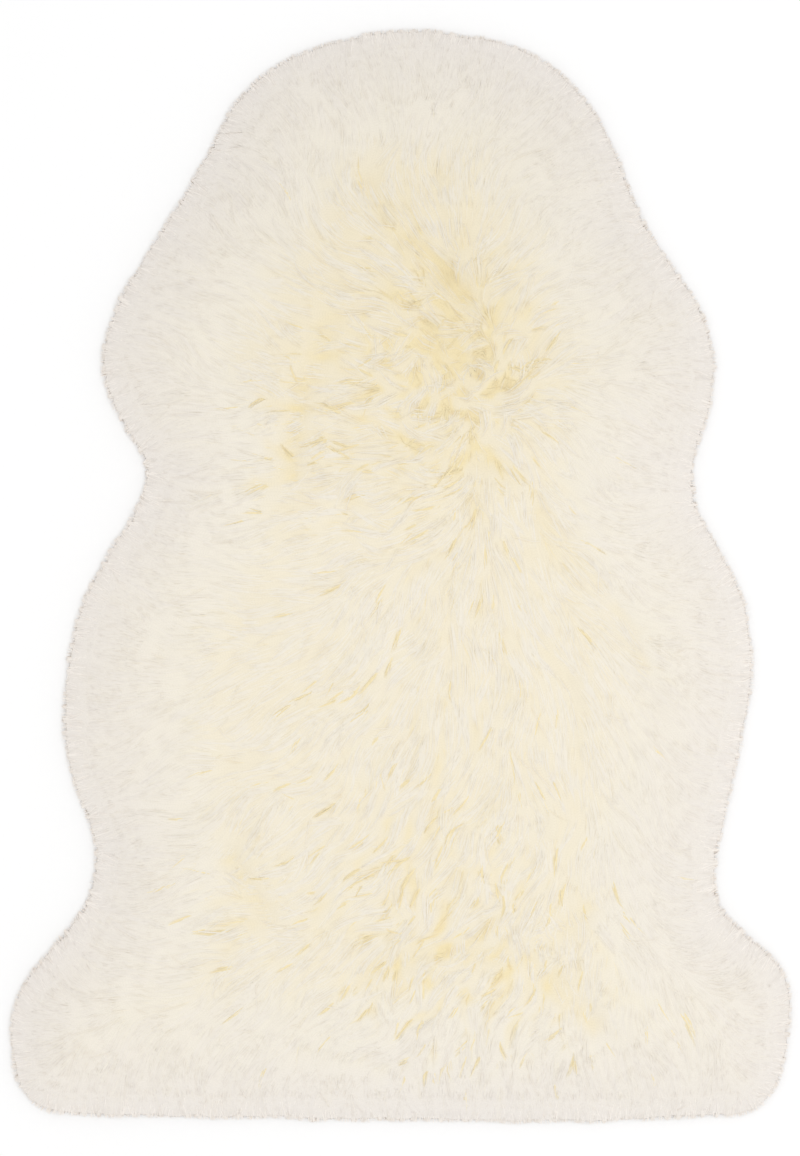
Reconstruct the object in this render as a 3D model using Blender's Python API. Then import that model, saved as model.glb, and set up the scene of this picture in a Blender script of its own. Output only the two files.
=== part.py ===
"""Sheepskin rug lying flat: one tanned hide with its long combed wool.

Metres, on the plane z = 0. +Y runs from the tail to the neck, +X to the right of the back.
"""

import math
import random
from typing import NamedTuple

import bmesh
import bpy
from mathutils import Vector, geometry

# Driving dimensions.
RUG_LENGTH = 0.950  # neck to tail, over the wool
RUG_WIDTH = 0.680  # across the hind legs, over the wool
WOOL_LOFT = 0.047  # height of the combed wool in the middle of the back
SHOULDER = 0.080  # how far in from its edge the wool has risen to its full height
HIDE_THICKNESS = 0.002
HIDE_INSET = 0.034  # the wool hangs this far out past the cut edge of the hide
HIDE_GAP = 0.0004  # between the hide and the wool round and above it

# Locks of wool round the rim.
LOCK_COUNT = 264
LOCK_REACH = 0.014  # from the body of the fleece to the tip of the longest lock
SHORTEST_LOCK = 0.78  # as a share of LOCK_REACH
LOCK_LEAN = 0.12  # sideways, as a share of the space between two locks
LOCK_KNEE = 0.55  # where a lock starts to narrow to its tip, as a share of its reach
LOCK_KNEE_WIDTH = 0.74
LOCK_KNEE_HEIGHT = 0.60
LOCK_TIP_LIFT = 0.0012  # the tip's height over the floor

# The top of the fleece.
SURFACE_PITCH = 0.0144  # between the points that carry the lumps of the wool
CROWN = 0.15  # share of the loft that the flanks have less than the middle of the back
CROWN_REACH = 0.230  # how far in from the edge the middle of the back starts
TUFT_SPACING = 0.036
TUFT_LENGTH = 0.090
TUFT_WIDTH = 0.052
TUFT_RISE = 0.0095
SMALLEST_TUFT = 0.6  # as a share of TUFT_RISE
FRINGE_REACH = 0.050  # how far in from the edge the wool is combed straight outwards
SEED = 7

WOOL_COLOUR = (0.86, 0.78, 0.64, 1.0)
SUEDE_COLOUR = (0.62, 0.50, 0.36, 1.0)

MM = 0.001


class Section(NamedTuple):
    """The edge of the wool on either side of the back, in millimetres."""

    y: float
    left: float
    right: float


class Combing(NamedTuple):
    """Which way the wool is combed across the back, in degrees anticlockwise from +X."""

    y: float
    left_flank: float
    left_back: float
    spine: float
    right_back: float
    right_flank: float


class Parting(NamedTuple):
    """A hollow where the wool parts, from one point to another, in millimetres."""

    x0: float
    y0: float
    x1: float
    y1: float
    depth: float
    half_width: float


SECTIONS = [
    Section(475, -8, 34),
    Section(463, -71, 98),
    Section(444, -112, 134),
    Section(410, -146, 165),
    Section(370, -166, 187),
    Section(320, -197, 205),
    Section(276, -224, 233),
    Section(236, -246, 259),
    Section(198, -259, 272),
    Section(160, -255, 271),
    Section(126, -236, 262),
    Section(92, -218, 253),
    Section(54, -233, 259),
    Section(16, -256, 283),
    Section(-26, -277, 299),
    Section(-75, -289, 306),
    Section(-124, -293, 300),
    Section(-172, -286, 289),
    Section(-214, -270, 281),
    Section(-252, -264, 272),
    Section(-286, -274, 275),
    Section(-312, -294, 301),
    Section(-338, -317, 331),
    Section(-368, -335, 339),
    Section(-408, -339, 335),
    Section(-446, -330, 325),
    Section(-466, -300, 304),
    Section(-469, -180, 245),
    Section(-473, 60, 160),
]

COMBING_COLUMNS = (-220, -110, 0, 110, 220)  # x of the headings in each row, in millimetres
COMBING = [
    Combing(440, 125, 110, 85, 55, 40),
    Combing(385, 120, 100, 92, 52, 40),
    Combing(325, 135, 120, 112, 48, 32),
    Combing(265, 150, 148, 150, 38, 12),
    Combing(205, 148, 154, 190, 38, 12),
    Combing(145, 162, 178, 175, -35, -16),
    Combing(85, 162, 192, 182, -60, -14),
    Combing(25, 165, 182, 205, -68, -12),
    Combing(-40, 168, 194, 245, -66, -24),
    Combing(-100, 194, 200, 244, -80, -44),
    Combing(-160, 205, 215, 240, -92, -68),
    Combing(-220, 194, 220, 232, -102, -74),
    Combing(-280, 196, 208, 224, -104, -68),
    Combing(-340, 194, 208, 232, -120, -64),
    Combing(-405, 220, 220, 238, -110, -76),
]

PARTINGS = [
    Parting(-32, 333, 8, 288, 6.0, 12),
    Parting(8, 288, 54, 240, 9.0, 14),
    Parting(22, 204, 62, 178, 5.0, 12),
    Parting(-62, 212, -88, 144, 5.0, 12),
    Parting(-88, 144, -94, 90, 6.0, 12),
    Parting(-94, 88, -140, 72, 5.0, 12),
    Parting(30, 108, 92, 92, 4.5, 12),
    Parting(118, 52, 172, -12, 4.5, 11),
    Parting(184, -26, 210, -80, 4.0, 11),
    Parting(-146, -243, -114, -296, 5.5, 12),
    Parting(-30, -340, 36, -318, 5.0, 12),
    Parting(36, -318, 96, -330, 5.0, 12),
    Parting(124, -344, 166, -388, 7.0, 13),
    Parting(138, -306, 176, -270, 4.0, 11),
    Parting(-88, -405, -12, -424, 5.5, 12),
]


def smooth_loop(points, steps=10):
    """Points along the closed curve that runs smoothly through the given ones."""
    count = len(points)
    curve = []
    for i in range(count):
        p0, p1, p2, p3 = (points[(i + k) % count] for k in (-1, 0, 1, 2))
        for step in range(steps):
            t = step / steps
            linear = (p2 - p0) * t
            square = (2 * p0 - 5 * p1 + 4 * p2 - p3) * t**2
            cube = (3 * p1 - p0 - 3 * p2 + p3) * t**3
            curve.append((2 * p1 + linear + square + cube) / 2)
    return curve


def evenly_spaced(loop, count):
    """The closed loop again, as that many points the same distance apart."""
    lengths = [(loop[(i + 1) % len(loop)] - p).length for i, p in enumerate(loop)]
    step = sum(lengths) / count
    points, travelled, i = [], 0.0, 0
    for k in range(count):
        while travelled + lengths[i] < k * step:
            travelled += lengths[i]
            i += 1
        share = (k * step - travelled) / lengths[i]
        points.append(loop[i].lerp(loop[(i + 1) % len(loop)], share))
    return points


def wool_edge():
    """The edge of the wool, clockwise from the neck, at the rug's length and width."""
    right = [Vector((row.right, row.y)) for row in SECTIONS]
    left = [Vector((row.left, row.y)) for row in reversed(SECTIONS)]
    loop = smooth_loop(right + left)
    low = [min(p[axis] for p in loop) for axis in (0, 1)]
    high = [max(p[axis] for p in loop) for axis in (0, 1)]
    scales = [size / (high[k] - low[k]) for k, size in enumerate((RUG_WIDTH, RUG_LENGTH))]
    middle = [(high[k] + low[k]) / 2 for k in (0, 1)]
    fitted = [Vector([(p[k] - middle[k]) * scales[k] for k in (0, 1)]) for p in loop]
    return evenly_spaced(fitted, LOCK_COUNT)


def inset(loop, distance, smoothing=6):
    """The clockwise loop moved inwards, with its tight bends eased."""
    count = len(loop)
    moved = []
    for i in range(count):
        along = (loop[(i + 1) % count] - loop[i - 1]).normalized()
        moved.append(loop[i] + Vector((along.y, -along.x)) * distance)
    for _ in range(smoothing):
        moved = [(moved[i - 1] + moved[i] * 2 + moved[(i + 1) % count]) / 4 for i in range(count)]
    return moved


def nearest_on_segment(point, start, end):
    """The point of a straight line between two others that lies nearest."""
    along = end - start
    share = (point - start).dot(along) / along.length_squared
    return start + along * max(0.0, min(1.0, share))


def to_edge(point, loop):
    """The way from a point to the nearest point of a closed loop."""
    ways = [nearest_on_segment(point, loop[i - 1], loop[i]) - point for i in range(len(loop))]
    return min(ways, key=lambda way: way.length_squared)


def encloses(loop, point):
    """Whether a closed loop goes round a point."""
    inside = False
    for i, end in enumerate(loop):
        start = loop[i - 1]
        if (start.y > point.y) != (end.y > point.y):
            crossing = start.x + (point.y - start.y) / (end.y - start.y) * (end.x - start.x)
            inside ^= point.x < crossing
    return inside


def step_of(value, steps):
    """Between which two steps of a rising row a value lies, and its share of the way."""
    last = len(steps) - 2
    at = min(last, sum(1 for step in steps[1:-1] if step <= value))
    share = (value - steps[at]) / (steps[at + 1] - steps[at])
    return at, max(0.0, min(1.0, share))


def combed(point, edge):
    """The way the wool lies at a point: as COMBING has it, and straight outwards at the edge."""
    rows = list(reversed(COMBING))
    row, up = step_of(point.y / MM, [entry.y for entry in rows])
    column, over = step_of(point.x / MM, COMBING_COLUMNS)
    lie = Vector((0.0, 0.0))
    for r, row_share in ((row, 1 - up), (row + 1, up)):
        for c, column_share in ((column, 1 - over), (column + 1, over)):
            angle = math.radians(rows[r][c + 1])
            lie += Vector((math.cos(angle), math.sin(angle))) * row_share * column_share
    outwards = to_edge(point, edge)
    at_edge = math.exp(-((outwards.length / FRINGE_REACH) ** 2))
    return (lie.normalized() * (1 - at_edge) + outwards.normalized() * at_edge).normalized()


def make_tufts(edge):
    """Where each tuft of wool lies, which way and how thick: a grid, shaken so no rows show."""
    shaker = random.Random(SEED)
    tufts = []
    for row in range(round(RUG_LENGTH / TUFT_SPACING) + 1):
        for column in range(round(RUG_WIDTH / TUFT_SPACING) + 1):
            x = column * TUFT_SPACING - RUG_WIDTH / 2 + shaker.uniform(-0.4, 0.4) * TUFT_SPACING
            y = row * TUFT_SPACING - RUG_LENGTH / 2 + shaker.uniform(-0.4, 0.4) * TUFT_SPACING
            size = shaker.uniform(SMALLEST_TUFT, 1.0)
            centre = Vector((x, y))
            if encloses(edge, centre):
                tufts.append((centre, combed(centre, edge), size))
    return tufts


def tuft_rise(point, tufts):
    """How much the tufts lift the wool at a point: each is a long low mound."""
    highest = 0.0
    for centre, heading, size in tufts:
        offset = point - centre
        along = offset.dot(heading) / (TUFT_LENGTH / 2)
        across = (offset.y * heading.x - offset.x * heading.y) / (TUFT_WIDTH / 2)
        highest = max(highest, size * (1 - along**2 - across**2))
    return highest * TUFT_RISE


def parting_depth(point):
    """How deep the hollows of the partings are at a point."""
    depth = 0.0
    for parting in PARTINGS:
        start = Vector((parting.x0, parting.y0)) * MM
        end = Vector((parting.x1, parting.y1)) * MM
        apart = (nearest_on_segment(point, start, end) - point).length
        fall = math.exp(-((apart / (parting.half_width * MM)) ** 2))
        depth = max(depth, parting.depth * MM * fall)
    return depth


def wool_height(point, edge, tufts):
    """Height of the fleece over the floor at a point inside its edge."""
    inside = to_edge(point, edge).length
    rounding = 1 - (1 - min(1.0, inside / SHOULDER)) ** 2
    crown = 1 - CROWN * (1 - min(1.0, inside / CROWN_REACH)) ** 2
    relief = tuft_rise(point, tufts) - TUFT_RISE * 0.7 - parting_depth(point)
    return WOOL_LOFT * rounding**0.8 * crown + relief * rounding**2


def surface_points(rim):
    """The rim's points, then two rows that follow it, then an even spread inside them."""
    second = inset(rim, SURFACE_PITCH * 0.6, smoothing=1)
    third = evenly_spaced(inset(second, SURFACE_PITCH * 0.8, smoothing=3), LOCK_COUNT * 3 // 4)
    points = rim + second + third
    row_pitch = SURFACE_PITCH * math.sqrt(3) / 2
    for row in range(round(RUG_LENGTH / row_pitch)):
        for column in range(round(RUG_WIDTH / SURFACE_PITCH)):
            x = (column + row % 2 / 2) * SURFACE_PITCH - RUG_WIDTH / 2
            point = Vector((x, row * row_pitch - RUG_LENGTH / 2))
            if encloses(third, point) and to_edge(point, third).length > SURFACE_PITCH * 0.7:
                points.append(point)
    return points


def fill_loop(bm, verts):
    """Closes a flat loop of vertices with triangles."""
    flat = [vert.co.xy for vert in verts]
    edges = [(i, (i + 1) % len(verts)) for i in range(len(verts))]
    for face in geometry.delaunay_2d_cdt(flat, edges, [], 1, 1e-7)[2]:
        bm.faces.new([verts[i] for i in face])


def add_loop(bm, loop, height):
    """A closed row of vertices at one height, and its edges."""
    verts = [bm.verts.new((p.x, p.y, height)) for p in loop]
    edges = [bm.edges.new((verts[i - 1], verts[i])) for i in range(len(verts))]
    return verts, edges


def build_object(bm, name, colour, roughness):
    """Turns a finished bmesh into a named object with its own material."""
    bmesh.ops.recalc_face_normals(bm, faces=bm.faces)
    mesh = bpy.data.meshes.new(name)
    bm.to_mesh(mesh)
    bm.free()
    mesh.shade_smooth()
    mesh.set_sharp_from_angle(angle=math.radians(50))
    material = bpy.data.materials.new(name)
    material.use_nodes = True
    shader = material.node_tree.nodes["Principled BSDF"]
    shader.inputs["Base Color"].default_value = colour
    shader.inputs["Roughness"].default_value = roughness
    material.diffuse_color = colour
    mesh.materials.append(material)
    made = bpy.data.objects.new(name, mesh)
    bpy.context.scene.collection.objects.link(made)
    return made


def make_hide(edge):
    """The tanned hide: a flat sheet that the wool grows from."""
    bm = bmesh.new()
    outline = evenly_spaced(inset(edge, HIDE_INSET), LOCK_COUNT // 2)
    under, under_edges = add_loop(bm, outline, 0.0)
    upper, upper_edges = add_loop(bm, outline, HIDE_THICKNESS)
    bmesh.ops.bridge_loops(bm, edges=under_edges + upper_edges)
    fill_loop(bm, under)
    fill_loop(bm, upper)
    return build_object(bm, "hide", SUEDE_COLOUR, 0.9)


def make_fleece(edge):
    """The wool: a lumpy body that lies over the hide, with a row of locks round its rim."""
    bm = bmesh.new()
    rim = inset(edge, LOCK_REACH, smoothing=2)
    tufts = make_tufts(edge)

    loop_edges = [(i, (i + 1) % LOCK_COUNT) for i in range(LOCK_COUNT)]
    spread = geometry.delaunay_2d_cdt(surface_points(rim), loop_edges, [], 1, 1e-7)
    top = [bm.verts.new((p.x, p.y, wool_height(p, edge, tufts))) for p in spread[0]]
    for face in spread[2]:
        bm.faces.new([top[i] for i in face])

    floor_rim, floor_edges = add_loop(bm, rim, 0.0)
    roots = []
    for i in range(LOCK_COUNT):
        before = (i - 1) % LOCK_COUNT
        roots.append(bm.faces.new((top[before], top[i], floor_rim[i], floor_rim[before])))

    bed = evenly_spaced(inset(edge, HIDE_INSET - HIDE_GAP), LOCK_COUNT // 2)
    _, bed_edges = add_loop(bm, bed, 0.0)
    ceiling, ceiling_edges = add_loop(bm, bed, HIDE_THICKNESS + HIDE_GAP)
    bmesh.ops.bridge_loops(bm, edges=floor_edges + bed_edges)
    bmesh.ops.bridge_loops(bm, edges=bed_edges + ceiling_edges)
    fill_loop(bm, ceiling)

    grow_locks(bm, roots, edge)
    return build_object(bm, "fleece", WOOL_COLOUR, 0.95)


def grow_locks(bm, roots, edge):
    """Draws each face of the rim out into a lock that tapers to a tip at the wool's edge."""
    bmesh.ops.recalc_face_normals(bm, faces=bm.faces)
    trimmer = random.Random(SEED + 1)
    for i, root in enumerate(roots):
        base = root.calc_center_median()
        lean = trimmer.uniform(-LOCK_LEAN, LOCK_LEAN)
        target = edge[i - 1].lerp(edge[i], 0.5 + lean)
        reach = (target - base.xy) * trimmer.uniform(SHORTEST_LOCK, 1.0)

        knee = bmesh.ops.extrude_discrete_faces(bm, faces=[root])["faces"][0]
        for vert in knee.verts:
            across = (vert.co.xy - base.xy) * LOCK_KNEE_WIDTH
            vert.co.xy = base.xy + across + reach * LOCK_KNEE
            vert.co.z *= LOCK_KNEE_HEIGHT

        end = bmesh.ops.extrude_discrete_faces(bm, faces=[knee])["faces"][0]
        tip = (base.xy + reach).to_3d()
        tip.z = LOCK_TIP_LIFT
        bmesh.ops.pointmerge(bm, verts=end.verts, merge_co=tip)


def main():
    """Clears the scene, then builds the hide and its wool."""
    for old in list(bpy.data.objects):
        bpy.data.objects.remove(old, do_unlink=True)
    edge = wool_edge()
    make_hide(edge)
    make_fleece(edge)


main()
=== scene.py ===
"""Sheepskin rug: its combed wool and sueded hide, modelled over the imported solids.

Metres, with the floor at z = 0. +Y runs from the tail to the neck, +X to the right of the back.
"""

import functools
import logging
import math
from dataclasses import dataclass, field
from enum import Enum
from typing import NamedTuple

import bmesh
import bpy
import numpy as np
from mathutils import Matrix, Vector
from mathutils.bvhtree import BVHTree
from mathutils.kdtree import KDTree


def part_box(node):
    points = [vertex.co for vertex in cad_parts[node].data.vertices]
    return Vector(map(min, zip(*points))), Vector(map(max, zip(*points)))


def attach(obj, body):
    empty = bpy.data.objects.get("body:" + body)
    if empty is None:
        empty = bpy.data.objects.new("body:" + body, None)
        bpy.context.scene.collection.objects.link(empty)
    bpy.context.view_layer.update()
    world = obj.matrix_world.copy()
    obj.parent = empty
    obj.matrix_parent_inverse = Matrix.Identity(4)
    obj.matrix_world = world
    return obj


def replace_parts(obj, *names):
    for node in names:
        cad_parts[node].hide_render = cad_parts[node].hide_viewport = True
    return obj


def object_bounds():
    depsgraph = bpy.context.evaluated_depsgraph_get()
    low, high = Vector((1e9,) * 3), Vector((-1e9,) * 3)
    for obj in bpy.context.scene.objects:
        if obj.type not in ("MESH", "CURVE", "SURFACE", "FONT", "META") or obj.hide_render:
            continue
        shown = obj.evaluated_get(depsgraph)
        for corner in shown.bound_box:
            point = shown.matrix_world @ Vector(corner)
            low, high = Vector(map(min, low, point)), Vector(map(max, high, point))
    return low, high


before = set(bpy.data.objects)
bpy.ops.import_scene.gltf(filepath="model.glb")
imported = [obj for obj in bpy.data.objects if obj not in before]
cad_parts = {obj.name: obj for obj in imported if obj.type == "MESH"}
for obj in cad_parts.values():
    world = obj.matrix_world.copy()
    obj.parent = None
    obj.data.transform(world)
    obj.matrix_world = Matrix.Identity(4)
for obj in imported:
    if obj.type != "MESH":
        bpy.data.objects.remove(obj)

CAD_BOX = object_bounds()
LOG = logging.getLogger("sheepskin")
BODY = "root"
MM = 0.001
SEED = 11
TINY = 1e-6  # a length that stands for none
EQUILATERAL = math.sqrt(0.75)  # the height of an equal-sided triangle, as a share of its side

Colour = tuple[float, float, float, float]
Span = tuple[float, float]  # the least and the most of a measure
Array = np.ndarray
Chance = np.random.Generator
Socket = bpy.types.NodeSocket
Source = Socket | Colour | float
Feeds = dict[str | int, Source]  # what goes into a node's sockets, by their names or numbers


class Combing(NamedTuple):
    """Which way the wool is combed across the back, in degrees anticlockwise from +X."""

    y: float
    left_flank: float
    left_back: float
    spine: float
    right_back: float
    right_flank: float


COMBING_COLUMNS = (-220, -110, 0, 110, 220)  # x of the headings in each row, in millimetres
COMBING = (
    Combing(440, 125, 110, 85, 55, 40),
    Combing(385, 120, 100, 92, 52, 40),
    Combing(325, 135, 120, 112, 48, 32),
    Combing(265, 150, 148, 150, 38, 12),
    Combing(205, 148, 154, 190, 38, 12),
    Combing(145, 162, 178, 175, -35, -16),
    Combing(85, 162, 192, 182, -60, -14),
    Combing(25, 165, 182, 205, -68, -12),
    Combing(-40, 168, 194, 245, -66, -24),
    Combing(-100, 194, 200, 244, -80, -44),
    Combing(-160, 205, 215, 240, -92, -68),
    Combing(-220, 194, 220, 232, -102, -74),
    Combing(-280, 196, 208, 224, -104, -68),
    Combing(-340, 194, 208, 232, -120, -64),
    Combing(-405, 220, 220, 238, -110, -76),
)


class Parting(NamedTuple):
    """A line where the wool parts and its yellower roots show, in millimetres."""

    x0: float
    y0: float
    x1: float
    y1: float
    strength: float
    half_width: float


PARTINGS = (
    Parting(-32, 333, 8, 288, 0.30, 7),
    Parting(8, 288, 54, 240, 0.60, 7),
    Parting(22, 204, 62, 178, 0.55, 8),
    Parting(-62, 212, -88, 144, 0.30, 9),
    Parting(-88, 144, -94, 90, 0.35, 8),
    Parting(-94, 88, -140, 72, 0.35, 7),
    Parting(30, 108, 92, 92, 0.35, 7),
    Parting(118, 52, 172, -12, 0.30, 6),
    Parting(184, -26, 210, -80, 0.25, 6),
    Parting(-146, -243, -114, -296, 0.30, 7),
    Parting(-30, -340, 36, -318, 0.30, 8),
    Parting(36, -318, 96, -330, 0.35, 8),
    Parting(124, -344, 166, -388, 0.45, 8),
    Parting(138, -306, 176, -270, 0.25, 8),
    Parting(-88, -405, -12, -424, 0.25, 7),
)


class Patch(NamedTuple):
    """A round place where the wool differs from that round it, in millimetres."""

    x: float
    y: float
    radius: float
    strength: float


WARM_PATCHES = (
    Patch(40, 190, 62, 0.10),
    Patch(10, 270, 120, 0.09),
    Patch(35, 60, 80, 0.02),
    Patch(60, -345, 120, 0.01),
)
RUFFLED_PATCHES = (
    Patch(35, 190, 65, 0.90),
    Patch(62, 178, 26, 1.60),
    Patch(20, 90, 100, 0.45),
    Patch(-95, 110, 55, 0.30),
    Patch(25, -190, 120, 0.35),
    Patch(60, -340, 110, 0.60),
    Patch(-125, -270, 50, 0.30),
)
WHORLS = (Patch(62, 178, 45, 80),)  # their strength is how far the combing turns there, in degrees
HEIGHT, BED, INSIDE, WARMTH, RUFFLE, SPREAD, ACROSS = range(7)  # the pelt's first fields
OUTWARD, LIE, SLOPE = slice(7, 9), slice(9, 11), slice(11, 13)  # its fields of x and y


def merged_copy(node: str) -> bmesh.types.BMesh:
    """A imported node's mesh with its loose triangles joined.

    Args:
        node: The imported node's name.

    Returns:
        A new bmesh, whose vertices hold the node's place.
    """
    bm = bmesh.new()
    bm.from_mesh(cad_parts[node].data)
    bmesh.ops.remove_doubles(bm, verts=bm.verts, dist=TINY)
    return bm


def as_piece(name: str, mesh: bpy.types.Mesh, material: bpy.types.Material) -> bpy.types.Object:
    """Links a finished mesh to the scene as a piece that rides on the rug.

    Args:
        name: The piece's name.
        mesh: Its mesh, already in place.
        material: Its finish.

    Returns:
        The new object, at the origin.
    """
    mesh.name = name
    mesh.materials.clear()
    mesh.materials.append(material)
    piece = bpy.data.objects.new(name, mesh)
    bpy.context.scene.collection.objects.link(piece)
    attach(piece, BODY)
    return piece


def turned(vectors: Array, angles: Array) -> Array:
    """Flat vectors turned anticlockwise.

    Args:
        vectors: Their x and y, in the last axis.
        angles: How far each is turned, in radians.

    Returns:
        The turned vectors.
    """
    cos, sin = np.cos(angles), np.sin(angles)
    x, y = vectors[..., 0], vectors[..., 1]
    return np.stack([x * cos - y * sin, x * sin + y * cos], axis=-1)


def leftward(vectors: Array) -> Array:
    """The way to the left of each flat vector."""
    return turned(vectors, np.full((1,) * (vectors.ndim - 1), math.pi / 2))


def unit(vectors: Array) -> Array:
    """Vectors with a length of 1."""
    return vectors / (np.linalg.norm(vectors, axis=-1, keepdims=True) + 1e-12)


class Shading:
    """A material's nodes, with the steps that the finishes share."""

    STREAK_STEPS = (-0.5, -0.3, -0.1, 0.1, 0.3, 0.5)  # where along a fibre its noise is read
    STREAK_SPAN = (0.4, 0.6)  # what those readings' mean mostly lies between

    def __init__(self, name: str) -> None:
        """Starts a material with one Principled shader.

        Args:
            name: The material's name.
        """
        self.material = bpy.data.materials.new(name)
        self.material.use_nodes = True
        self.tree = self.material.node_tree
        self.shader = self.tree.nodes["Principled BSDF"]

    def feed(self, node: bpy.types.Node, feeds: Feeds) -> None:
        """Links a node's sockets to others, or sets their values.

        Args:
            node: The node.
            feeds: An output socket or a plain value for each of the sockets.
        """
        for key, source in feeds.items():
            if isinstance(source, Socket):
                self.tree.links.new(source, node.inputs[key])
            else:
                node.inputs[key].default_value = source

    def wear(self, feeds: Feeds) -> None:
        """Feeds the shader itself."""
        self.feed(self.shader, feeds)

    def node(self, kind: str, feeds: Feeds | None = None, **settings: str) -> bpy.types.Node:
        """Adds a node.

        Args:
            kind: The node's type, without its ShaderNode prefix.
            feeds: What goes into its sockets, or None where they stay as they are.
            **settings: Its properties, by name.

        Returns:
            The new node.
        """
        made = self.tree.nodes.new("ShaderNode" + kind)
        for key, value in settings.items():
            setattr(made, key, value)
        self.feed(made, feeds or {})
        return made

    def place(self) -> Socket:
        """Where on the object a point lies."""
        return self.node("TexCoord").outputs["Object"]

    def maths(self, operation: str, *values: Source) -> Socket:
        """One step of arithmetic on some values, in the order of the Math node's sockets."""
        return self.node("Math", dict(enumerate(values)), operation=operation).outputs[0]

    def noise(self, place: Socket, scale: float, detail: float) -> Socket:
        """Soft noise over a place, from 0 to 1, of some fineness and with some finer layers."""
        return self.node("TexNoise", {"Vector": place, "Scale": scale, "Detail": detail}).outputs["Fac"]

    def streaks(self, place: Socket, flow: Socket, scale: float, length: float) -> Socket:
        """Fine noise drawn out along a flow, like fibres that lie in it.

        Args:
            place: The coordinates to read.
            flow: The way the fibres lie, as a unit vector.
            scale: How fine they are.
            length: How long they are.

        Returns:
            The streaks' value socket, from 0 to 1.
        """
        total: Source = 0.0
        for step in self.STREAK_STEPS:
            shift = self.node("VectorMath", {0: flow, "Scale": step * length}, operation="SCALE")
            moved = self.node("VectorMath", {0: place, 1: shift.outputs[0]}, operation="ADD")
            total = self.maths("ADD", total, self.noise(moved.outputs[0], scale, 0.0))
        mean = self.maths("DIVIDE", total, float(len(self.STREAK_STEPS)))
        return self.ranged(mean, 0.0, 1.0, *self.STREAK_SPAN)

    def ranged(
        self, value: Socket, low: float, high: float, first: float = 0.0, last: float = 1.0
    ) -> Socket:
        """A value stretched from one range to another.

        Args:
            value: The socket to read.
            low: What the first range's start becomes.
            high: What its end becomes.
            first: The first range's start.
            last: Its end.

        Returns:
            The stretched value's socket.
        """
        ends = {"From Min": first, "From Max": last, "To Min": low, "To Max": high}
        return self.node("MapRange", {"Value": value, **ends}).outputs["Result"]

    def bump(self, height: Socket, strength: float, distance: float) -> None:
        """Raises the surface by a height.

        Args:
            height: The height's socket, from 0 to 1.
            strength: How much of it shows.
            distance: What a height of 1 stands for, in metres.
        """
        made = self.node("Bump", {"Height": height, "Strength": strength, "Distance": distance})
        self.wear({"Normal": made.outputs["Normal"]})


class Layer(Enum):
    """Which layer of the wool a finish is for."""

    TOPCOAT = "topcoat"
    FRINGE = "fringe"
    UNDERWOOL = "underwool"


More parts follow.
